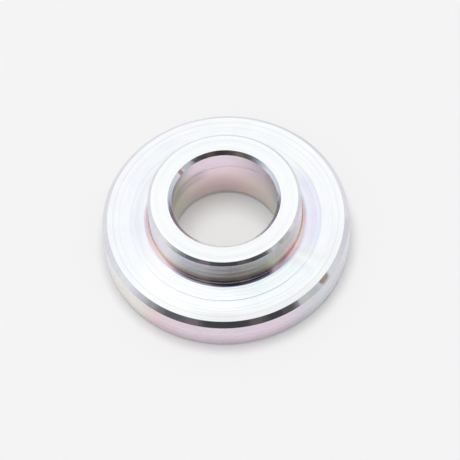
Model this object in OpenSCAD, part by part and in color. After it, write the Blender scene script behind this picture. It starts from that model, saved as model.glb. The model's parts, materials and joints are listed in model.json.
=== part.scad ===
// Shoulder washer, turned from bar in one piece: a thick flange, a short boss and a plain bore.
// The flange lies on z = 0 and the bore runs along Z, with the origin on its axis.

/* [Flange] */
// Outside diameter of the flange
flange_d = 40; // [32:0.5:60]
// Thickness of the flange
flange_t = 6.3; // [3:0.1:12]
// Chamfer round the flange's upper edge
flange_chamfer = 0.8; // [0.3:0.1:1.6]
// Break round the flange's lower edge
flange_break = 0.5; // [0.1:0.1:1]

/* [Boss] */
// Outside diameter of the boss
boss_d = 24.7; // [21:0.1:29]
// Height of the boss above the flange's upper face
boss_h = 6.1; // [2:0.1:12]
// Chamfer round the boss's outer edge
boss_chamfer = 0.5; // [0.1:0.1:1.2]
// Radius of the fillet at the boss's foot
foot_fillet = 1; // [0.1:0.1:2]

/* [Bore] */
// Diameter of the bore
bore_d = 17; // [8:0.1:20]
// Chamfer of the bore's mouth in the boss
bore_chamfer = 0.6; // [0.1:0.1:1.2]
// Chamfer of the bore's mouth in the underside
seat_chamfer = 0.9; // [0.1:0.1:1.5]

/* [Hidden] */
flange_r = flange_d / 2;
boss_r = boss_d / 2;
bore_r = bore_d / 2;
overall_h = flange_t + boss_h;
// How far the cutting profiles reach past the solid
past = 1;
$fn = 180;

// Half section of the flange, with its upper chamfer and its lower edge break
module flange_section() {
    polygon([
        [0, 0],
        [flange_r - flange_break, 0],
        [flange_r, flange_break],
        [flange_r, flange_t - flange_chamfer],
        [flange_r - flange_chamfer, flange_t],
        [0, flange_t]
    ]);
}

// Half section of the boss, from the underside up, with its outer chamfer
module boss_section() {
    polygon([
        [0, 0],
        [boss_r, 0],
        [boss_r, overall_h - boss_chamfer],
        [boss_r - boss_chamfer, overall_h],
        [0, overall_h]
    ]);
}

// Web of material left in the corner by the tool's nose radius
module foot_section() {
    difference() {
        translate([boss_r - foot_fillet, flange_t - foot_fillet])
            square(2 * foot_fillet);
        translate([boss_r + foot_fillet, flange_t + foot_fillet])
            circle(foot_fillet);
    }
}

// Half section of the bore, opened out at both mouths
module bore_section() {
    polygon([
        [0, -past],
        [bore_r + seat_chamfer + past, -past],
        [bore_r, seat_chamfer],
        [bore_r, overall_h - bore_chamfer],
        [bore_r + bore_chamfer + past, overall_h + past],
        [0, overall_h + past]
    ]);
}

module shoulder_washer() {
    color("gainsboro")
        rotate_extrude()
            difference() {
                union() {
                    flange_section();
                    boss_section();
                    foot_section();
                }
                bore_section();
            }
}

shoulder_washer();
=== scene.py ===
import json
import math

import bmesh
import bpy
from mathutils import Matrix, Vector


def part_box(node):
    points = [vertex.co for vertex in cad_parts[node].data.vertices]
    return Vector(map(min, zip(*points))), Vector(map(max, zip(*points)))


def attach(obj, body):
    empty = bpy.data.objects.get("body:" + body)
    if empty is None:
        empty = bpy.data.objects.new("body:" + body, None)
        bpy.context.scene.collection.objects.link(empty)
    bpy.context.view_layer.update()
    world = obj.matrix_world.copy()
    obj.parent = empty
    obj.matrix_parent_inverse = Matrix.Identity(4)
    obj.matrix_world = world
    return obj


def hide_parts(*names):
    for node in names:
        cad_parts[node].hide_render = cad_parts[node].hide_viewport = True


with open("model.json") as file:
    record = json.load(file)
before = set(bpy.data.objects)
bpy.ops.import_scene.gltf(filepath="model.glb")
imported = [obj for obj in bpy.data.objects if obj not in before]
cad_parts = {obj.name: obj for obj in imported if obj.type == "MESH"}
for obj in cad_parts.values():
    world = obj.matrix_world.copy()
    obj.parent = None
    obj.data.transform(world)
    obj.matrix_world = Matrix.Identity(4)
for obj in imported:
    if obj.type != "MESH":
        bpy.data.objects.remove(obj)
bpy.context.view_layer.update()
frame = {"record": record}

bl_info = {
    "name": "Shoulder washer",
    "version": (1, 0, 0),
    "blender": (4, 5, 0),
    "location": "3D View > Sidebar > Washer",
    "description": "Turns a zinc plated shoulder washer on its spin axis and sets it on a pale studio floor",
    "category": "Add Mesh",
}

MM = 0.001
MICRON = 1e-6
MICRONS_PER_MM = 1000
NODE = "shoulder_washer"

# Metres within which two points are one
SAME_PLACE = 1e-7
# Faces round the washer, across each softened edge and across the fillet
SPIN_STEPS = 360
EDGE_SEGMENTS = 3
FILLET_SEGMENTS = 24
# Size of the fainter facing line beside the main one
SECOND_LINE_SHARE = 0.5
# Faces that meet at less than this are shaded as one surface
SMOOTH_ANGLE = math.radians(5)

# Height of a face's unit normal from which the face counts as level, and from which it is a chamfer
LEVEL_NORMAL = 0.85
CHAMFER_NORMAL = 0.3
# Degrees by which the flange leans outward at the boss's foot, as its reflections show
FLANGE_LEAN = 14.5
# Degrees by which the boss's face would lean outward at a radius in mm inside the bore
BOSS_LEAN = 4
BOSS_LEAN_RADIUS = 7.0
# Turn of the shader's grain that lays it along the rings
GRAIN_TURN = 0.25
# Scale of the textures round the axis, as x and y, and along the section
LAY_SCALE = (9.0, 9.0, 2.5)
# Broad rings for each fine one that the tool leaves
BROAD_RINGS = 0.31
# Clouds in the film for each metre
CLOUD_SCALE = 160.0
# Stretch of the film's tints on the faced surfaces and on the boss's wall
FACED_STRETCH = (0.6, 0.6, 1.6)
WALL_STRETCH = (5, 5, 0.2)
# Colour under which a film stays as it is
NO_TINT = (1, 1, 1, 1)
# Radius, half width and blur in mm of the flange's faint rings, and how much each is darkened
FAINT_RINGS = ((14.35, 0.3, 0.15, 0.035), (17.3, 0.05, 0.12, 0.035), (18.27, 0.08, 0.15, 0.06))

# Metres along each side of the floor
FLOOR_SIZE = 6
# Share of the paper's own light, which lifts the shadow on it
PAPER_LIFT = 0.1
# Light of the tent's left side, its right side and its roof
TENT_LEFT = (0.86, 0.86, 0.88, 1)
TENT_RIGHT = (0.76, 0.76, 0.77, 1)
TENT_ROOF = (1.1, 1.1, 1.1, 1)
# Dark room in front of the tent, and degrees right of the front and light of the paler patches in it
ROOM = (0.06, 0.06, 0.065, 1)
ROOM_PATCHES = ((-49, (0.125, 0.133, 0.14)), (-41, (0.12, 0.13, 0.14)), (-30, (0.18, 0.155, 0.16)),
                (18, (0.135, 0.11, 0.105)), (45, (0.1, 0.095, 0.093)))
# Even light on what isn't mirrored, and the backdrop that the camera sees past the floor
EVEN_LIGHT = (0.38, 0.38, 0.38, 1)
BACKDROP = (0.9, 0.9, 0.9, 1)


def mount(name):
    """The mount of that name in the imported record."""
    return next(m for m in frame["record"]["mounts"] if m["name"] == name)


def mount_height(name):
    return mount(name)["pos_m"][2]


def mount_radius(name):
    return mount(name)["dims"]["r_mm"] * MM


def length_prop(name, description, metres):
    """A length that the user may change, in metres."""
    return bpy.props.FloatProperty(name=name, description=description, default=metres, min=0.0, precision=5,
                                   subtype="DISTANCE", unit="LENGTH")


def angle_prop(name, description, degrees):
    """An angle that the user may change, given here in degrees."""
    return bpy.props.FloatProperty(name=name, description=description, default=math.radians(degrees),
                                   subtype="ANGLE", unit="ROTATION")


def colour_prop(name, description, rgb):
    """A surface colour that the user may change."""
    return bpy.props.FloatVectorProperty(name=name, description=description, default=rgb, min=0.0, max=1.0,
                                         subtype="COLOR")


class WasherSizes(bpy.types.PropertyGroup):
    flange_radius: length_prop("Flange radius", "Outside radius of the flange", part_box(NODE)[1].x)
    flange_thickness: length_prop("Flange thickness", "Underside to shoulder face",
                                  mount_height("shoulder_face"))
    overall_height: length_prop("Overall height", "Underside to boss face", mount_height("boss_face"))
    boss_radius: length_prop("Boss radius", "Outside radius of the boss", mount_radius("boss"))
    bore_radius: length_prop("Bore radius", "Radius of the plain bore", mount_radius("bore"))
    flange_chamfer: length_prop("Flange chamfer", "Chamfer on the flange's upper edge", 0.8 * MM)
    flange_break: length_prop("Flange edge break", "Break on the flange's lower edge", 0.5 * MM)
    boss_chamfer: length_prop("Boss chamfer", "Chamfer on the boss's outer edge", 0.5 * MM)
    bore_chamfer: length_prop("Bore chamfer", "Chamfer on the bore's upper mouth", 0.6 * MM)
    seat_chamfer: length_prop("Seat chamfer", "Chamfer on the bore's lower mouth", 0.9 * MM)
    foot_fillet: length_prop("Foot fillet", "Fillet where the boss meets the flange", 1.0 * MM)
    edge_softness: length_prop("Edge softness", "Rounding that plating leaves on each edge", 0.02 * MM)
    facing_line: length_prop("Facing line", "Radius of the line where the facing tool stopped", 15.38 * MM)
    second_line: length_prop("Second line", "Radius of the fainter line outside it", 16.75 * MM)
    line_half_width: length_prop("Line half width", "Half the width of the facing line", 0.06 * MM)
    line_depth: length_prop("Line depth", "How far the facing line is cut in", 0.017 * MM)
    mark_height: length_prop("Mark height", "Height at which the bore's slanting tool mark crosses the axis",
                             9.15 * MM)
    mark_above: length_prop("Mark above", "Width of the mark's upper slope", 0.4 * MM)
    mark_below: length_prop("Mark below", "Width of the mark's lower slope", 0.8 * MM)
    mark_depth: length_prop("Mark depth", "How far the mark is cut into the bore", 0.09 * MM)
    mark_slope: angle_prop("Mark slope", "Tilt of the mark out of the level", 9.3)
    mark_turn: angle_prop("Mark turn", "Turn from the front to the mark's highest side", 42)


class FinishColours(bpy.types.PropertyGroup):
    white: colour_prop("White", "Clear film on most of the washer", (0.88, 0.90, 0.91))
    # Bright is a paler colour that paints a brighter reflection in front
    bright: colour_prop("Bright", "Thinnest film, in front of the boss", (0.94, 0.965, 0.98))
    aqua: colour_prop("Aqua", "Film on the flange, right of the boss's front", (0.84, 0.91, 0.92))
    lilac: colour_prop("Lilac", "Film on the flange beside the boss", (0.75, 0.76, 0.87))
    heather: colour_prop("Heather", "Tint high on the boss's front", (0.93, 0.90, 1.0))
    rouge: colour_prop("Rouge", "Tint at the foot, right of the front", (1.0, 0.70, 0.76))
    khaki: colour_prop("Khaki", "Tint halfway down the boss's front", (1.0, 1.0, 0.84))
    haze: colour_prop("Haze", "Thin film on the boss's sides", (0.86, 0.82, 0.89))
    grey: colour_prop("Grey", "Thin film on the boss's front", (0.86, 0.87, 0.87))
    ash: colour_prop("Ash", "Thin film on the boss, right of the front", (0.78, 0.72, 0.73))
    straw: colour_prop("Straw", "Film low on the boss", (0.95, 0.90, 0.87))
    tan: colour_prop("Tan", "Film above the red", (0.86, 0.74, 0.65))
    red: colour_prop("Red", "Film just above the fillet", (0.76, 0.54, 0.50))
    orange: colour_prop("Orange", "Film at the top of the fillet", (0.93, 0.65, 0.54))
    violet: colour_prop("Violet", "Film in the middle of the fillet", (0.93, 0.79, 0.97))
    iris: colour_prop("Iris", "Film on the fillet's outer part", (0.86, 0.91, 1.0))
    # Painted dark reflection at the foot of the boss's front
    umber_reflection: colour_prop("Umber", "Film above the fillet in front", (0.46, 0.42, 0.40))
    # Painted dark reflection on the fillet in front
    navy_reflection: colour_prop("Navy", "Film on the fillet in front", (0.25, 0.27, 0.40))
    cream: colour_prop("Cream", "Film on the rim, left of the front", (0.96, 0.93, 0.86))
    rose: colour_prop("Rose", "Film beside the cream and down the bore's back", (0.97, 0.77, 0.82))
    blush: colour_prop("Blush", "Film on the rim's front", (0.93, 0.79, 0.89))
    mist: colour_prop("Mist", "Film on the rim's sides", (0.81, 0.80, 0.87))
    pink: colour_prop("Pink", "Film high on the bore's back", (1.0, 0.85, 1.0))
    clay: colour_prop("Clay", "Film low on the bore's back", (0.78, 0.60, 0.60))
    dusk: colour_prop("Dusk", "Film in the sides of the bore's mouth", (0.78, 0.79, 0.94))
    # Dark mauve film, which also paints a dark reflection high on the bore's sides and on the fillet in
    # front
    plum_film_and_reflection: colour_prop("Plum", "Film high on the bore's sides and over the navy", (0.63, 0.57, 0.66))
    olive: colour_prop("Olive", "Film low on the bore's sides", (0.69, 0.67, 0.56))
    frost: colour_prop("Frost", "Film on the chamfers", (0.80, 0.80, 0.85))
    # Darker film that paints shade on the chamfers' far sides and at the back of the bore's mouth
    ice: colour_prop("Ice", "Film on the chamfers' far sides", (0.67, 0.72, 0.79))
    sepia: colour_prop("Sepia", "Film on the bore's far chamfer", (0.66, 0.60, 0.52))
    # Painted dark reflection on the flange's chamfer
    brown_reflection: colour_prop("Brown", "Stain on the flange's chamfer", (0.40, 0.32, 0.26))
    # Painted dark reflection on the bore's chamfer
    rust_reflection: colour_prop("Rust", "Stain on the bore's chamfer", (0.44, 0.27, 0.26))
    floor: colour_prop("Floor", "Paper that the washer lies on", (0.95, 0.95, 0.95))


class StageSettings(bpy.types.PropertyGroup):
    view_elevation: angle_prop("View elevation", "Height of the view above the horizon", 59.37)
    view_roll: angle_prop("View roll", "Turn of the view round its own axis", -3.9)
    view_distance: length_prop("View distance", "From the camera to the washer", 0.5405)
    focal_length: bpy.props.FloatProperty(
        name="Focal length", description="Lens of the camera in millimetres", default=259.1,
        subtype="DISTANCE_CAMERA")
    aim_right: bpy.props.FloatProperty(
        name="Aim right", description="Lens shift to the right, in frame widths", default=0.0067)
    aim_up: bpy.props.FloatProperty(
        name="Aim up", description="Lens shift upward, in frame widths", default=0.0168)
    lamp_height: angle_prop("Lamp height", "Height of the lamp above the horizon", 83.4)
    lamp_turn: angle_prop("Lamp turn", "Turn of the lamp from the back to the left", 15)
    lamp_spread: angle_prop("Lamp spread", "Width of the lamp, which softens shadows", 34)
    lamp_strength: bpy.props.FloatProperty(
        name="Lamp strength", description="Light on the floor", default=1.78, min=0)


def deselect_everything():
    """Leave edit mode and select nothing, because operators act on all that is selected."""
    if bpy.context.object is not None and bpy.context.object.mode != "OBJECT":
        bpy.ops.object.mode_set(mode="OBJECT")
    bpy.ops.object.select_all(action="DESELECT")


def select_points(wanted):
    """In edit mode, select only the vertices whose place passes the test."""
    mesh = bpy.context.object.data
    bm = bmesh.from_edit_mesh(mesh)
    for part in (*bm.faces, *bm.edges, *bm.verts):
        part.select_set(False)
    for v in bm.verts:
        v.select_set(wanted(v.co))
    bm.select_flush_mode()
    bmesh.update_edit_mesh(mesh)


def near(a, b):
    return abs(a - b) < SAME_PLACE


def bevel_selected(size, segments):
    """Cut off each selected corner of the section, or round it where there are more segments."""
    bpy.ops.mesh.bevel(offset_type="OFFSET", offset=size, segments=segments, profile=0.5, affect="VERTICES")


def cut_corner(x, z, size, segments=1):
    """Bevel the section's corner at that radius and height."""
    select_points(lambda co: near(co.x, x) and near(co.z, z))
    bevel_selected(size, segments)


def draw_section(s):
    """Draw the washer's half section as one face in the XZ plane, and return its object in edit mode."""
    width = s.flange_radius - s.bore_radius
    middle = (s.bore_radius + width / 2, 0, s.flange_thickness / 2)
    bpy.ops.mesh.primitive_plane_add(size=1, location=middle, rotation=(math.pi / 2, 0, 0))
    section = bpy.context.object
    section.scale = (width, s.flange_thickness, 1)
    bpy.ops.object.transform_apply(location=True, rotation=True, scale=True)
    bpy.ops.object.mode_set(mode="EDIT")
    bpy.context.tool_settings.mesh_select_mode = (True, False, False)
    bpy.ops.mesh.select_all(action="SELECT")
    bpy.ops.mesh.bisect(plane_co=(s.boss_radius, 0, 0), plane_no=(1, 0, 0))
    select_points(lambda co: near(co.z, s.flange_thickness) and co.x < s.boss_radius + SAME_PLACE)
    rise = s.overall_height - s.flange_thickness
    bpy.ops.mesh.extrude_region_move(TRANSFORM_OT_translate={"value": (0, 0, rise)})
    bpy.ops.mesh.select_all(action="SELECT")
    bpy.ops.mesh.dissolve_faces(use_verts=False)
    return section


def cut_section_edges(s):
    """Cut the chamfers, the edge break and the fillet, and round every turned edge a little."""
    top, shoulder = s.overall_height, s.flange_thickness
    cut_corner(s.flange_radius, shoulder, s.flange_chamfer)
    cut_corner(s.flange_radius, 0, s.flange_break)
    cut_corner(s.boss_radius, top, s.boss_chamfer)
    cut_corner(s.bore_radius, top, s.bore_chamfer)
    cut_corner(s.bore_radius, 0, s.seat_chamfer)
    ends = [
        (s.flange_radius - s.flange_chamfer, shoulder), (s.flange_radius, shoulder - s.flange_chamfer),
        (s.flange_radius - s.flange_break, 0), (s.flange_radius, s.flange_break),
        (s.boss_radius - s.boss_chamfer, top), (s.boss_radius, top - s.boss_chamfer),
        (s.bore_radius + s.bore_chamfer, top), (s.bore_radius, top - s.bore_chamfer),
        (s.bore_radius + s.seat_chamfer, 0), (s.bore_radius, s.seat_chamfer),
    ]
    select_points(lambda co: any(near(co.x, x) and near(co.z, z) for x, z in ends))
    bevel_selected(s.edge_softness, EDGE_SEGMENTS)
    cut_corner(s.boss_radius, shoulder, s.foot_fillet, FILLET_SEGMENTS)


def outline_section():
    """Keep only the section's outline."""
    bpy.ops.mesh.select_all(action="SELECT")
    bpy.ops.mesh.delete(type="ONLY_FACE")


def cut_facing_lines(s):
    """Cut a fine V line and a fainter one into the shoulder face of the section's outline."""
    for radius, share in ((s.facing_line, 1), (s.second_line, SECOND_LINE_SHARE)):
        for x in (radius - s.line_half_width * share, radius, radius + s.line_half_width * share):
            select_points(lambda co: near(co.z, s.flange_thickness) and co.x > s.boss_radius)
            bpy.ops.mesh.bisect(plane_co=(x, 0, 0), plane_no=(1, 0, 0), threshold=SAME_PLACE)
        select_points(lambda co: near(co.z, s.flange_thickness) and near(co.x, radius))
        bpy.ops.transform.translate(value=(0, 0, -s.line_depth * share))


def spin_section():
    """Spin the section's outline once round Z and close its seam."""
    bpy.ops.mesh.select_all(action="SELECT")
    bpy.ops.mesh.spin(steps=SPIN_STEPS, angle=math.tau, center=(0, 0, 0), axis=(0, 0, 1))
    bpy.ops.mesh.select_all(action="SELECT")
    bpy.ops.mesh.remove_doubles(threshold=SAME_PLACE)
    bpy.ops.mesh.normals_make_consistent(inside=False)


def cut_bore_mark(s):
    """Cut a shallow slanting mark round the plain bore, where the boring tool paused."""
    up = (Matrix.Rotation(s.mark_turn - math.pi / 2, 3, "Z") @ Matrix.Rotation(-s.mark_slope, 3, "Y")).col[2]
    middle = Vector((0, 0, s.mark_height))

    def on_bore(co):
        return math.hypot(co.x, co.y) < s.bore_radius + MICRON

    for offset in (-s.mark_below, 0, s.mark_above):
        select_points(on_bore)
        bpy.ops.mesh.bisect(plane_co=middle + up * offset, plane_no=up, threshold=SAME_PLACE)
    select_points(lambda co: on_bore(co) and near((co - middle).dot(up), 0))
    grow = 1 + s.mark_depth / s.bore_radius
    bpy.ops.transform.resize(value=(grow, grow, 1), center_override=(0, 0, 0))


def smooth_turned_faces(washer):
    """Smooth shading that keeps the flat faces flat."""
    bpy.ops.object.shade_smooth_by_angle(angle=SMOOTH_ANGLE)
    weighted = washer.modifiers.new("flat faces", "WEIGHTED_NORMAL")
    weighted.keep_sharp = True
    bpy.ops.object.modifier_apply(modifier=weighted.name)


def add_group(name, inputs, outputs):
    """An empty shader node group with its input and output nodes."""
    group = bpy.data.node_groups.new(name, "ShaderNodeTree")
    for title, kind, value in inputs:
        socket = group.interface.new_socket(title, in_out="INPUT", socket_type=kind)
        if value is not None:
            socket.default_value = value
    for title, kind in outputs:
        group.interface.new_socket(title, in_out="OUTPUT", socket_type=kind)
    return group, group.nodes.new("NodeGroupInput"), group.nodes.new("NodeGroupOutput")


def add_node_group(tree, name, inputs):
    """Place a node group with its inputs fed, and return its outputs by name."""
    node = tree.nodes.new("ShaderNodeGroup")
    node.node_tree = bpy.data.node_groups[name]
    for title, value in inputs.items():
        feed(tree, node.inputs[title], value)
    return {socket.name: socket for socket in node.outputs}


def feed(tree, socket, value):
    """Link the socket to another node's output, or set its plain value."""
    if isinstance(value, bpy.types.NodeSocket):
        tree.links.new(value, socket)
    else:
        socket.default_value = value


def maths(tree, operation, *values):
    """Number from a Math node."""
    node = tree.nodes.new("ShaderNodeMath")
    node.operation = operation
    for socket, value in zip(node.inputs, values):
        feed(tree, socket, value)
    return node.outputs[0]


def plus(tree, a, b):
    return maths(tree, "ADD", a, b)


def minus(tree, a, b):
    return maths(tree, "SUBTRACT", a, b)


def times(tree, a, b):
    return maths(tree, "MULTIPLY", a, b)


def vector_maths(tree, operation, *values):
    """Vector from a Vector Math node."""
    node = tree.nodes.new("ShaderNodeVectorMath")
    node.operation = operation
    for socket, value in zip(node.inputs, values):
        feed(tree, socket, value)
    return node.outputs[0]


def mix_colour(tree, factor, a, b, blend="MIX", clamp=False):
    """Colour a where the factor is 0, and b, or b laid on a by another blend, where it is 1."""
    node = tree.nodes.new("ShaderNodeMix")
    node.data_type = "RGBA"
    node.blend_type = blend
    node.clamp_result = clamp
    feed(tree, node.inputs["Factor"], factor)
    feed(tree, node.inputs[6], a)
    feed(tree, node.inputs[7], b)
    return node.outputs[2]


def multiply_colours(tree, a, b):
    """Product of two colours, or of a colour and a number, that never passes 1."""
    return mix_colour(tree, 1.0, a, b, "MULTIPLY", clamp=True)


def tinted(tree, film, share, tint):
    """The film under a clear tint, as far as the share says."""
    return multiply_colours(tree, film, mix_colour(tree, share, NO_TINT, (*tint, 1)))


def dimmed(tree, film, share):
    """The film, darker by the share."""
    return multiply_colours(tree, film, minus(tree, 1.0, share))


def map_range(tree, value, low, high, to_low=0.0, to_high=1.0, smooth=True):
    """Number that goes from to_low to to_high as the value goes from low to high."""
    node = tree.nodes.new("ShaderNodeMapRange")
    node.interpolation_type = "SMOOTHSTEP" if smooth else "LINEAR"
    for socket, v in zip(node.inputs, (value, low, high, to_low, to_high)):
        feed(tree, socket, v)
    return node.outputs[0]


def pulse(tree, value, centre, half_width, blur):
    """1 where the value is within half_width of the centre, and 0 from blur beyond that."""
    off = maths(tree, "ABSOLUTE", minus(tree, value, centre))
    return map_range(tree, off, half_width + blur, half_width)


def noise(tree, vector, scale, output="Fac"):
    """Uneven blots, as a number or a colour."""
    node = tree.nodes.new("ShaderNodeTexNoise")
    feed(tree, node.inputs["Vector"], vector)
    node.inputs["Scale"].default_value = scale
    node.inputs["Detail"].default_value = 3.0
    return node.outputs[output]


def rings(tree, step, scale):
    """Uneven rings, as noise along one line."""
    node = tree.nodes.new("ShaderNodeTexNoise")
    node.noise_dimensions = "1D"
    feed(tree, node.inputs["W"], step)
    node.inputs["Scale"].default_value = scale
    node.inputs["Detail"].default_value = 2.0
    return node.outputs["Fac"]


def ramp(tree, value, stops):
    """Colour ramp between stops of position and colour."""
    node = tree.nodes.new("ShaderNodeValToRGB")
    feed(tree, node.inputs["Fac"], value)
    elements = node.color_ramp.elements
    elements.remove(elements[1])
    for i, (position, colour) in enumerate(stops):
        element = elements.new(position) if i else elements[0]
        element.position = position
        element.color = colour
    return node.outputs["Color"]


def turn_from_front(tree, x, y):
    """Degrees right of the front."""
    return maths(tree, "DEGREES", maths(tree, "ARCTAN2", x, times(tree, y, -1.0)))


def washer_place_group():
    """Where a point lies on the washer: degrees right of the front, radius and height in millimetres.

    Lay is a place for textures that are drawn out round the axis, as the lathe leaves them.
    """
    tree, entry, out = add_group(
        "washer_place", [("Position", "NodeSocketVector", None)],
        [("Turn", "NodeSocketFloat"), ("Radius", "NodeSocketFloat"), ("Height", "NodeSocketFloat"),
         ("Lay", "NodeSocketVector")])
    split = tree.nodes.new("ShaderNodeSeparateXYZ")
    tree.links.new(entry.outputs["Position"], split.inputs[0])
    x, y, z = [maths(tree, "DIVIDE", split.outputs[i], MM) for i in range(3)]
    radius = maths(tree, "SQRT", plus(tree, times(tree, x, x), times(tree, y, y)))
    tree.links.new(turn_from_front(tree, x, y), out.inputs["Turn"])
    tree.links.new(radius, out.inputs["Radius"])
    tree.links.new(z, out.inputs["Height"])
    round_axis = [maths(tree, "DIVIDE", side, radius) for side in (x, y)]
    along_section = plus(tree, radius, z)
    lay = tree.nodes.new("ShaderNodeCombineXYZ")
    for socket, value, scale in zip(lay.inputs, (*round_axis, along_section), LAY_SCALE):
        feed(tree, socket, times(tree, value, scale))
    tree.links.new(lay.outputs[0], out.inputs["Lay"])


def turning_marks_group():
    """Uneven rings that the lathe tool leaves, one for each feed, and nicks, on the surface's own form."""
    tree, entry, out = add_group(
        "turning_marks",
        [("Across mm", "NodeSocketFloat", 0.0), ("Feed mm", "NodeSocketFloat", 0.2),
         ("Depth um", "NodeSocketFloat", 1.0), ("Form um", "NodeSocketFloat", 0.0),
         ("Lay", "NodeSocketVector", None), ("Nicks um", "NodeSocketFloat", 0.0)],
        [("Height um", "NodeSocketFloat"), ("Streaks", "NodeSocketFloat")])
    step = maths(tree, "DIVIDE", entry.outputs["Across mm"], entry.outputs["Feed mm"])
    fine = rings(tree, step, 1.0)
    broad = rings(tree, step, BROAD_RINGS)
    ragged = plus(tree, times(tree, fine, 0.6), times(tree, broad, 0.4))
    nicks = times(tree, noise(tree, entry.outputs["Lay"], 1.3), entry.outputs["Nicks um"])
    marks = plus(tree, times(tree, ragged, entry.outputs["Depth um"]), nicks)
    tree.links.new(plus(tree, marks, entry.outputs["Form um"]), out.inputs["Height um"])
    tree.links.new(map_range(tree, broad, 0.35, 0.65), out.inputs["Streaks"])


def crown(tree, radius, most, level, degrees):
    """Height in micrometres of a face that falls away outward, most at one radius and level at the other."""
    share = maths(tree, "DIVIDE", minus(tree, radius, level), most - level)
    share = maths(tree, "MAXIMUM", share, 0.0)
    fall = (level - most) / 2 * MICRONS_PER_MM * math.tan(math.radians(degrees))
    return times(tree, times(tree, share, share), fall)


def film_group():
    """Shade of the film on the zinc, from 0 to 1 along a surface's colours, and the faint tints in it."""
    tree, entry, out = add_group(
        "film",
        [("Position", "NodeSocketVector", None), ("Lay", "NodeSocketVector", None),
         ("Shade", "NodeSocketFloat", 0.0), ("Last", "NodeSocketFloat", 1.0),
         ("Clouds", "NodeSocketFloat", 0.5), ("Mottle", "NodeSocketFloat", 0.2)],
        [("Place", "NodeSocketFloat"), ("Tint", "NodeSocketColor")])
    cloud = minus(tree, noise(tree, entry.outputs["Position"], CLOUD_SCALE), 0.5)
    shade = plus(tree, entry.outputs["Shade"], times(tree, cloud, entry.outputs["Clouds"]))
    tree.links.new(maths(tree, "DIVIDE", shade, entry.outputs["Last"]), out.inputs["Place"])
    tints = noise(tree, entry.outputs["Lay"], 1.0, "Color")
    tints = vector_maths(tree, "SUBTRACT", tints, (0.5, 0.5, 0.5))
    tints = vector_maths(tree, "MULTIPLY", tints, entry.outputs["Mottle"])
    tree.links.new(vector_maths(tree, "ADD", tints, (1, 1, 1)), out.inputs["Tint"])


def film_colour(tree, place, c, names, shade, clouds, mottle=0.3, stretch=(1, 1, 1)):
    """Colour at a shade number, where 0 is the first of the named colours, 1 the second and so on."""
    last = len(names) - 1
    lay = vector_maths(tree, "MULTIPLY", place["Lay"], stretch)
    film = add_node_group(tree, "film", {"Position": place["Position"], "Lay": lay, "Shade": shade,
                                         "Last": last, "Clouds": clouds, "Mottle": mottle})
    stops = [(i / last, (*getattr(c, name), 1)) for i, name in enumerate(names)]
    return multiply_colours(tree, ramp(tree, film["Place"], stops), film["Tint"])


def around(tree, place, *stops):
    """Number that changes round the washer, from stops of degrees right of the front and number."""
    most = max(number for _, number in stops)
    greys = [(0.5 + degrees / 360, (*[number / most] * 3, 1)) for degrees, number in stops]
    grey = ramp(tree, map_range(tree, place["Turn"], -180, 180, smooth=False), greys)
    return times(tree, grey, most)


def flange_colour(tree, place, c):
    """White, and near the boss bright in front, aqua right of it and lilac at both sides. The bright in
    front is a paler colour that paints a brighter reflection, and painted shade darkens the front next to
    the boss's foot, the front's outer part and a narrow strip right of the front.
    """
    radius = place["Radius"]
    # The bright film in front is a paler colour that paints a brighter reflection
    front = times(tree, map_range(tree, radius, 19.0, 16.5, 0.1, 1.0),
                  around(tree, place, (-180, 0), (-62, 0), (-48, 1), (0, 1), (14, 1.8), (50, 1.9), (60, 0),
                         (180, 0)))
    inside = plus(tree, map_range(tree, radius, 15.62, 15.46, 0.0, 0.85),
                  map_range(tree, radius, 19.0, 15.5, 0.1, 0.17))
    sides = times(tree, inside,
                  around(tree, place, (-180, 0), (-115, 0.1), (-85, 0.45), (-62, 0), (54, 0), (62, 0.6),
                         (72, 1), (112, 1), (130, 0), (180, 0)))
    left = around(tree, place, (-180, 0.1), (-150, 0.23), (-80, 0.23), (-55, 0), (140, 0), (180, 0.1))
    lilac = plus(tree, sides, left)
    shade = minus(tree, plus(tree, front, 1.0), lilac)
    film = film_colour(tree, place, c, ("lilac", "white", "bright", "aqua"), shade, clouds=0.8, mottle=0.16,
                       stretch=FACED_STRETCH)
    # Painted shade on the flange's outer part in front
    edge = times(tree, around(tree, place, (-180, 0), (-30, 0), (-8, 0.1), (32, 0.1), (90, 0), (180, 0)),
                 map_range(tree, radius, 16.8, 18.0))
    # Painted shade in front next to the boss's foot
    foot = times(tree,
                 around(tree, place, (-180, 0), (-25, 0), (-6, 0.16), (12, 0.14), (28, 0.04), (56, 0.06),
                        (80, 0), (180, 0)),
                 map_range(tree, radius, 13.8, 13.2))
    dim = plus(tree, edge, foot)
    for centre, half_width, blur, share in FAINT_RINGS:
        dim = plus(tree, dim, times(tree, pulse(tree, radius, centre, half_width, blur), share))
    # Painted shade over a narrow bright strip between aqua and lilac, where the film would pass through
    # bright
    wedge_shade = times(tree, pulse(tree, place["Turn"], 55, 3, 6), map_range(tree, radius, 18.2, 16.5, 0.0, 0.07))
    return dimmed(tree, film, plus(tree, dim, wedge_shade))


def boss_face_colour(tree, place, c):
    """White, with faint clouds of lilac and bright."""
    return film_colour(tree, place, c, ("lilac", "white", "bright"), 1.05, clouds=0.4, mottle=0.1,
                       stretch=FACED_STRETCH)


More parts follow.
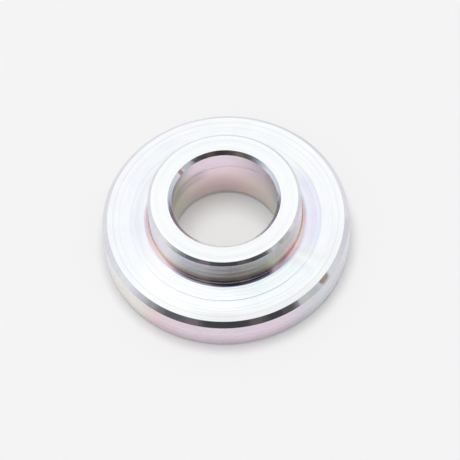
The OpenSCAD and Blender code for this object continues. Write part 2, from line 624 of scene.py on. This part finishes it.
def rim_colour(tree, place, c):
    """Cream in a patch left of the front, rose beside it, blush in front and mist at both sides. Painted
    shade darkens the front towards the bottom.
    """
    shade = around(tree, place, (-180, 0), (-170, 0), (-150, 1.4), (-125, 1.4), (-108, 0.2), (-82, 0.5),
                   (-66, 1.4), (-50, 1.5), (-38, 2.5), (-24, 3.5), (22, 3.5), (40, 4.5), (80, 4.5),
                   (105, 3.5), (150, 3.5), (170, 5), (180, 5))
    film = film_colour(tree, place, c, ("mist", "cream", "rose", "blush", "mist"), minus(tree, shade, 0.5),
                       clouds=0.9, mottle=0.2, stretch=(1, 1, 0.15))
    # Painted shade that darkens the rim's front towards the bottom
    front = around(tree, place, (-180, 0), (-60, 0), (-20, 0.16), (30, 0.16), (50, 0), (180, 0))
    return dimmed(tree, film, times(tree, front, map_range(tree, place["Height"], 3.5, 0.5)))


def chamfer_colour(tree, place, c):
    """Frost, with darker ice at the back right as painted shade, and right of the front a painted dark
    reflection, brownish on the flange's chamfer and greyer on the boss's.
    """
    # Painted shade: the darker ice at the back right
    far = around(tree, place, (-180, 1), (-160, 0), (112, 0), (130, 1), (180, 1))
    on_flange = map_range(tree, place["Radius"], 15, 16)
    # Painted dark reflection right of the front, brownish on the flange's chamfer and fading outward, and
    # greyer on the boss's
    dark_reflection = times(tree, pulse(tree, place["Turn"], 50.5, 1.2, 3.5),
                  map_range(tree, place["Radius"], 20.0, 19.4, 0.3, 1.0))
    dark_reflection = times(tree, dark_reflection, on_flange)
    dull_reflection = times(tree, pulse(tree, place["Turn"], 49, 4, 9), minus(tree, 1.5, on_flange))
    shade = plus(tree, plus(tree, far, times(tree, dark_reflection, 2.2)), dull_reflection)
    return film_colour(tree, place, c, ("frost", "ice", "brown_reflection"), shade, clouds=0.8, mottle=0.2,
                       stretch=(3, 3, 1))


def reddened(tree, place, c, film, share):
    """The film with a reddish tint in a patch right of the front, as far as the share says."""
    return tinted(tree, film, times(tree, share, pulse(tree, place["Turn"], 50, 5, 8)), c.rouge)


def beside_front(tree, place):
    """1 at the boss's sides, less at the back and 0 in front."""
    return around(tree, place, (-180, 0.4), (-120, 0.4), (-100, 1), (-62, 1), (-48, 0.2), (-38, 0), (44, 0),
                  (60, 0.9), (72, 1), (105, 1), (125, 0.4), (180, 0.4))


def wall_colour(tree, place, c):
    """Haze, grey and ash from left to right, then straw, tan and red towards the foot.

    In front it is tinted heather high up and khaki halfway down, and a dark brownish colour at the foot
    paints a dark reflection. Painted light and shade brighten the front, darken the wall right of it and
    brighten the foot at the sides.
    """
    height = place["Height"]
    streaky = {"clouds": 1.2, "mottle": 0.33, "stretch": WALL_STRETCH}
    shade = around(tree, place, (-180, 0), (-150, 0.6), (-20, 0.6), (0, 1.6), (25, 1.6), (45, 2.6),
                   (60, 2.6), (85, 3.6), (150, 3.6), (180, 4.2))
    upper = film_colour(tree, place, c, ("haze", "grey", "ash", "haze"), minus(tree, shade, 0.6), **streaky)
    lower = film_colour(tree, place, c, ("straw", "tan", "red"), map_range(tree, height, 8.6, 7.0, 0, 2),
                        **streaky)
    film = mix_colour(tree, map_range(tree, height, 9.4, 8.2), upper, lower)
    # Painted light and shade round the wall, brighter in front and darker right of it
    level = around(tree, place, (-180, 1), (-70, 1), (-50, 1.15), (-15, 1.24), (-6, 1.18), (4, 1.1),
                   (26, 1.1), (36, 0.96), (52, 0.94), (65, 1.02), (80, 1.1), (180, 1))
    # Painted light that brightens the wall's foot at the sides
    glow = times(tree, beside_front(tree, place), map_range(tree, height, 8.0, 7.4, 0.0, 0.6))
    film = multiply_colours(tree, film, plus(tree, level, glow))
    high = times(tree,
                 around(tree, place, (-180, 0), (-46, 0), (-34, 1), (-14, 1), (-6, 0.5), (16, 0.5), (26, 0),
                        (180, 0)),
                 map_range(tree, height, 9.6, 10.8))
    halfway = times(tree,
                    around(tree, place, (-180, 0), (-15, 0), (-5, 0.5), (20, 0.6), (32, 1), (44, 0.4),
                           (56, 0), (180, 0)),
                    pulse(tree, height, 8.9, 0.7, 0.8))
    film = tinted(tree, film, high, c.heather)
    film = tinted(tree, film, halfway, c.khaki)
    film = reddened(tree, place, c, film, map_range(tree, height, 8.1, 7.6))
    # Painted dark reflection at the wall's foot in front
    front = around(tree, place, (-180, 0), (-30, 0), (-15, 0.65), (20, 0.65), (30, 0.1), (34, 0), (180, 0))
    umber_reflection = times(tree, front, map_range(tree, height, 8.7, 7.5))
    return mix_colour(tree, umber_reflection, film, (*c.umber_reflection, 1))


def foot_colour(tree, place, c):
    """Orange, violet, iris and white from the wall out, and in front a dark mauve and blue colour that
    paints a dark reflection. Painted shade darkens all but the front, and painted light brightens the fillet
    next to the wall at the sides and further out left of the front.
    """
    radius = place["Radius"]
    sides = beside_front(tree, place)
    shade = map_range(tree, radius, 12.38, 13.3, 0.0, 3.0, smooth=False)
    shade = minus(tree, shade, times(tree, sides, 0.75))
    film = film_colour(tree, place, c, ("orange", "violet", "iris", "white"), shade, clouds=0.6, mottle=0.4)
    front = around(tree, place, (-180, 0), (-46, 0), (-36, 0.4), (-14, 0.5), (-8, 0.8), (30, 0.95),
                   (34, 0.35), (46, 0.25), (60, 0), (180, 0))
    # Painted dark reflection in front, mauve next to the wall and blue further out
    dark = mix_colour(tree, map_range(tree, radius, 12.42, 12.54), (*c.plum_film_and_reflection, 1), (*c.navy_reflection, 1))
    # Painted shade round the fillet, none in front
    level = around(tree, place, (-180, 0.84), (-120, 0.84), (-100, 0.72), (-85, 0.72), (-66, 0.78),
                   (-50, 0.84), (-30, 1), (30, 1), (48, 0.78), (62, 0.76), (80, 0.76), (100, 0.74),
                   (120, 0.84), (180, 0.84))
    # Painted light further out on the fillet, left of the front
    painted_lift = times(tree,
                 around(tree, place, (-180, 0), (-72, 0), (-56, 0.12), (-46, 0.25), (-32, 0.25), (-14, 0),
                        (180, 0)),
                 map_range(tree, radius, 12.75, 13.0))
    # Painted light next to the wall at the sides
    glow = times(tree, sides, map_range(tree, radius, 12.85, 12.5, 0.0, 0.55))
    film = multiply_colours(tree, film, plus(tree, plus(tree, level, painted_lift), glow))
    film = reddened(tree, place, c, film, map_range(tree, radius, 12.75, 12.5))
    return mix_colour(tree, times(tree, front, map_range(tree, radius, 13.1, 12.85)), film, dark)


def bore_colour(tree, place, c):
    """Pink, rose and clay down the back, and at the sides a dark mauve film above olive, which also paints a
    dark reflection. Painted shade darkens the right back high up and a band on the left back, and painted
    light brightens the right back low down.
    """
    height = place["Height"]
    back = film_colour(tree, place, c, ("pink", "rose", "clay"), map_range(tree, height, 10.5, 2.0, 0, 2),
                       clouds=0.9, mottle=0.08)
    side = film_colour(tree, place, c, ("plum_film_and_reflection", "olive"), map_range(tree, height, 12, 9.5), clouds=0.4,
                       mottle=0.08)
    sides = around(tree, place, (-180, 0), (-148, 0), (-120, 1), (95, 1), (130, 0), (180, 0))
    lower = around(tree, place, (-180, 0), (-150, 0.35), (-125, 0.2), (95, 0), (115, 0.5), (135, 0.7),
                   (150, 0.4), (170, 0), (180, 0))
    share = plus(tree, sides, times(tree, lower, map_range(tree, height, 9, 3)))
    # Painted shade high on the right back and in a band on the left back, and painted light low on the right
    # back
    right = around(tree, place, (-180, 0), (100, 0), (120, 1), (142, 1), (160, 0.4), (178, 0), (180, 0))
    level = times(tree, right, map_range(tree, height, 4.0, 9.0, 0.12, -0.2))
    left = around(tree, place, (-180, 0), (-166, 0), (-152, 0.28), (-112, 0.28), (-98, 0), (180, 0))
    level = minus(tree, level, times(tree, left, pulse(tree, height, 7.4, 0.6, 1.6)))
    return multiply_colours(tree, mix_colour(tree, share, back, side), plus(tree, level, 1.0))


def mouth_colour(tree, place, c):
    """Bright in front, dusk at both sides, ice and sepia at the back, and a painted rusty dark reflection at
    the back left. The bright in front is a paler colour that paints a brighter reflection, and the ice
    paints shade.
    """
    # The bright in front paints a brighter reflection, and the ice at the back paints shade
    shade = around(tree, place, (-180, 0), (-156, 0), (-152, 1), (-100, 1), (-84, 2), (-58, 2), (-28, 3),
                   (28, 3), (50, 2), (82, 2), (98, 1), (146, 1), (152, 0), (180, 0))
    film = film_colour(tree, place, c, ("sepia", "ice", "dusk", "bright"), shade, clouds=0.4)
    # Painted rusty dark reflection at the back left
    return mix_colour(tree, pulse(tree, place["Turn"], -130, 1.5, 2), film, (*c.rust_reflection, 1))


def plated_material(name, c, colour, across, roughness, spread, depth_um=1.0, feed_mm=0.2, form=None,
                    nicks_um=0.0, worn=None, streak=0.2):
    """Bright zinc plating over a turned surface, where the tool fed across the radius or the height.

    Spread is how far the rings draw reflections out. The form is a crown's two radii in mm and its slope in
    degrees. Streak is the share by which the roughness changes from ring to ring, and where the surface is
    worn, stops of turn and number raise it.
    """
    material = bpy.data.materials.new(name)
    material.use_nodes = True
    tree = material.node_tree
    shader = tree.nodes["Principled BSDF"]
    position = tree.nodes.new("ShaderNodeTexCoord").outputs["Object"]
    place = add_node_group(tree, "washer_place", {"Position": position})
    place["Position"] = position
    form_um = crown(tree, place["Radius"], *form) if form else 0.0
    marks = add_node_group(tree, "turning_marks",
                           {"Across mm": place[across], "Feed mm": feed_mm, "Depth um": depth_um,
                            "Form um": form_um, "Lay": place["Lay"], "Nicks um": nicks_um})
    tree.links.new(colour(tree, place, c), shader.inputs["Base Color"])
    shader.inputs["Metallic"].default_value = 1.0
    shader.inputs["Anisotropic"].default_value = spread
    shader.inputs["Anisotropic Rotation"].default_value = GRAIN_TURN
    rough = map_range(tree, marks["Streaks"], 0, 1, roughness * (1 - streak), roughness * (1 + streak),
                      smooth=False)
    if worn:
        rough = times(tree, rough, around(tree, place, *worn))
    tree.links.new(rough, shader.inputs["Roughness"])
    bump = tree.nodes.new("ShaderNodeBump")
    bump.inputs["Strength"].default_value = 1.0
    bump.inputs["Distance"].default_value = MICRON
    tree.links.new(marks["Height um"], bump.inputs["Height"])
    tree.links.new(bump.outputs["Normal"], shader.inputs["Normal"])
    return material


def plate_washer(washer, s, c):
    """Give each turned surface its own plating, by its place and slope."""
    washer_place_group()
    turning_marks_group()
    film_group()
    foot, edge = (s.boss_radius + s.foot_fillet) / MM, s.flange_radius / MM
    # Radius on the fillet where its own slope is the flange's lean
    flat = foot - s.foot_fillet / MM * math.sin(math.radians(FLANGE_LEAN))
    faced = {"across": "Radius", "spread": 0.9, "depth_um": 1.2, "feed_mm": 0.25}
    bevelled = {"across": "Radius", "spread": 0.5, "depth_um": 0.5}
    for finish in (
            plated_material("faced_flange", c, flange_colour, roughness=0.17, form=(foot, edge, FLANGE_LEAN),
                            **faced),
            plated_material("faced_boss", c, boss_face_colour, roughness=0.24,
                            form=(BOSS_LEAN_RADIUS, edge, BOSS_LEAN), **faced),
            plated_material("turned_rim", c, rim_colour, "Height", roughness=0.3, spread=0.9, depth_um=0.1,
                            streak=0.1),
            plated_material("turned_boss", c, wall_colour, "Height", roughness=0.4, spread=0.8),
            plated_material("foot_fillet", c, foot_colour, "Height", roughness=0.12, spread=0.5,
                            depth_um=0.5, form=(foot, flat, FLANGE_LEAN)),
            plated_material("flange_chamfer", c, chamfer_colour, roughness=0.1, nicks_um=30, **bevelled),
            plated_material("boss_chamfer", c, chamfer_colour, roughness=0.15, nicks_um=30, **bevelled),
            plated_material("bored_wall", c, bore_colour, "Height", roughness=0.2, spread=0.9, depth_um=0.08,
                            feed_mm=0.25, streak=0.05),
            plated_material("bore_chamfer", c, mouth_colour, roughness=0.1, nicks_um=20,
                            worn=((-180, 1), (-44, 1), (-26, 4.5), (28, 4.5), (46, 1), (180, 1)),
                            **bevelled)):
        washer.data.materials.append(finish)
    names = [slot.name for slot in washer.material_slots]
    for face in washer.data.polygons:
        face.material_index = names.index(finish_at(face.center, abs(face.normal.z), s))


def finish_at(centre, level, s):
    """Name of the finish on the face at that place, whose normal has that height."""
    radius = math.hypot(centre.x, centre.y)
    on_face = s.boss_radius < radius < s.flange_radius - s.flange_chamfer - s.edge_softness
    if on_face and abs(centre.z - s.flange_thickness) < s.line_depth:
        return "faced_flange"
    if on_face and 0 < centre.z - s.flange_thickness < s.foot_fillet:
        return "foot_fillet"
    if level > LEVEL_NORMAL:
        return "faced_boss" if centre.z > s.flange_thickness else "faced_flange"
    if radius < s.bore_radius + max(s.bore_chamfer, s.seat_chamfer):
        return "bore_chamfer" if level > CHAMFER_NORMAL else "bored_wall"
    if level > CHAMFER_NORMAL:
        return "boss_chamfer" if centre.z > s.flange_thickness else "flange_chamfer"
    return "turned_boss" if centre.z > s.flange_thickness else "turned_rim"


class WASHER_OT_turn_washer(bpy.types.Operator):
    """Turn the washer from its half section and plate it"""
    bl_idname = "washer.turn_washer"
    bl_label = "Turn washer"

    def execute(self, context):
        s = context.scene.washer_sizes
        deselect_everything()
        washer = draw_section(s)
        cut_section_edges(s)
        outline_section()
        cut_facing_lines(s)
        spin_section()
        cut_bore_mark(s)
        bpy.ops.object.mode_set(mode="OBJECT")
        washer.name = washer.data.name = "turned_washer"
        smooth_turned_faces(washer)
        plate_washer(washer, s, context.scene.washer_colours)
        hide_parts(NODE)
        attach(washer, "root")
        return {"FINISHED"}


def floor_material(colour):
    """White paper, whose own light lifts the shadow for the camera and for reflections."""
    material = bpy.data.materials.new("paper")
    material.use_nodes = True
    tree = material.node_tree
    shader = tree.nodes["Principled BSDF"]
    shader.inputs["Base Color"].default_value = (*colour, 1)
    shader.inputs["Roughness"].default_value = 0.9
    shader.inputs["Specular IOR Level"].default_value = 0.1
    glow = tree.nodes.new("ShaderNodeEmission")
    ray = tree.nodes.new("ShaderNodeLightPath")
    seen = maths(tree, "MAXIMUM", ray.outputs["Is Camera Ray"], ray.outputs["Is Glossy Ray"])
    blend = tree.nodes.new("ShaderNodeMixShader")
    tree.links.new(times(tree, seen, PAPER_LIFT), blend.inputs["Fac"])
    tree.links.new(shader.outputs[0], blend.inputs[1])
    tree.links.new(glow.outputs[0], blend.inputs[2])
    tree.links.new(blend.outputs[0], tree.nodes["Material Output"].inputs["Surface"])
    return material


def paint_world():
    """A pale tent that is dark in front, where the room behind the camera shows."""
    world = bpy.data.worlds.new("tent")
    bpy.context.scene.world = world
    world.use_nodes = True
    tree = world.node_tree
    background = tree.nodes["Background"]
    split = tree.nodes.new("ShaderNodeSeparateXYZ")
    tree.links.new(tree.nodes.new("ShaderNodeTexCoord").outputs["Generated"], split.inputs[0])
    x, y, z = split.outputs
    turn = turn_from_front(tree, x, y)
    height = maths(tree, "DEGREES", maths(tree, "ARCSINE", z))
    sides = mix_colour(tree, map_range(tree, x, -0.7, 0.7), TENT_LEFT, TENT_RIGHT)
    tent = mix_colour(tree, map_range(tree, height, 5, 40), sides, TENT_ROOF)
    room = ROOM
    for centre, patch in ROOM_PATCHES:
        room = mix_colour(tree, pulse(tree, turn, centre, 3, 7), room, (*patch, 1))
    # Low down the dark room ends at both sides, and high up it fades out slowly round the tent
    right_end = plus(tree, map_range(tree, turn, 55, 46, 0.0, 0.66),
                     map_range(tree, turn, 78, 64, 0.0, 0.34))
    low = times(tree, map_range(tree, turn, -82, -50, smooth=False), right_end)
    high = map_range(tree, maths(tree, "ABSOLUTE", minus(tree, turn, 6)), 118, 8, smooth=False)
    is_high = map_range(tree, height, 30, 38)
    front = plus(tree, times(tree, low, minus(tree, 1.0, is_high)), times(tree, high, is_high))
    tent = mix_colour(tree, times(tree, front, map_range(tree, height, 69, 63)), tent, room)
    ray = tree.nodes.new("ShaderNodeLightPath")
    plain = mix_colour(tree, ray.outputs["Is Camera Ray"], EVEN_LIGHT, BACKDROP)
    mirrored = times(tree, ray.outputs["Is Glossy Ray"],
                     maths(tree, "LESS_THAN", ray.outputs["Diffuse Depth"], 0.5))
    tree.links.new(mix_colour(tree, mirrored, plain, tent), background.inputs["Color"])


def hang_lamp(s):
    """A soft lamp high at the back that lights the floor, while the metal mirrors only the tent."""
    bpy.ops.object.light_add(type="SUN", rotation=(s.lamp_height - math.pi / 2, 0, s.lamp_turn))
    lamp = bpy.context.object
    lamp.name = lamp.data.name = "high_lamp"
    lamp.data.energy = s.lamp_strength
    lamp.data.angle = s.lamp_spread
    lamp.visible_glossy = False


def place_camera(s):
    """Look down at the washer from in front through a long lens."""
    camera = bpy.data.objects.new("camera", bpy.data.cameras.new("camera"))
    bpy.context.collection.objects.link(camera)
    turn = Matrix.Rotation(math.pi / 2 - s.view_elevation, 4, "X") @ Matrix.Rotation(s.view_roll, 4, "Z")
    camera.matrix_world = Matrix.Translation(turn.col[2].xyz * s.view_distance) @ turn
    camera.data.lens = s.focal_length
    camera.data.sensor_width = 36
    camera.data.shift_x, camera.data.shift_y = s.aim_right, s.aim_up
    camera.data.clip_start, camera.data.clip_end = 0.01, 10
    bpy.context.scene.camera = camera


class WASHER_OT_set_stage(bpy.types.Operator):
    """Lay the pale floor, light it softly and place the camera"""
    bl_idname = "washer.set_stage"
    bl_label = "Set stage"

    def execute(self, context):
        deselect_everything()
        bpy.ops.mesh.primitive_plane_add(size=FLOOR_SIZE)
        floor = context.object
        floor.name = floor.data.name = "floor"
        floor.data.materials.append(floor_material(context.scene.washer_colours.floor))
        paint_world()
        hang_lamp(context.scene.washer_stage)
        place_camera(context.scene.washer_stage)
        context.scene.view_settings.view_transform = "Standard"
        return {"FINISHED"}


class WASHER_PT_panel(bpy.types.Panel):
    """The washer's operators and settings"""
    bl_idname = "WASHER_PT_panel"
    bl_label = "Shoulder washer"
    bl_space_type = "VIEW_3D"
    bl_region_type = "UI"
    bl_category = "Washer"

    def draw(self, context):
        layout = self.layout
        for operator in (WASHER_OT_turn_washer, WASHER_OT_set_stage):
            layout.operator(operator.bl_idname)
        for group in ("washer_sizes", "washer_colours", "washer_stage"):
            settings = getattr(context.scene, group)
            box = layout.box()
            for name in settings.__annotations__:
                box.prop(settings, name)


CLASSES = (WasherSizes, FinishColours, StageSettings, WASHER_OT_turn_washer, WASHER_OT_set_stage,
           WASHER_PT_panel)


def register():
    for cls in CLASSES:
        bpy.utils.register_class(cls)
    bpy.types.Scene.washer_sizes = bpy.props.PointerProperty(type=WasherSizes)
    bpy.types.Scene.washer_colours = bpy.props.PointerProperty(type=FinishColours)
    bpy.types.Scene.washer_stage = bpy.props.PointerProperty(type=StageSettings)


def unregister():
    del bpy.types.Scene.washer_stage
    del bpy.types.Scene.washer_colours
    del bpy.types.Scene.washer_sizes
    for cls in reversed(CLASSES):
        bpy.utils.unregister_class(cls)


def main():
    register()
    bpy.ops.washer.turn_washer()
    bpy.ops.washer.set_stage()


if __name__ == "__main__":
    main()
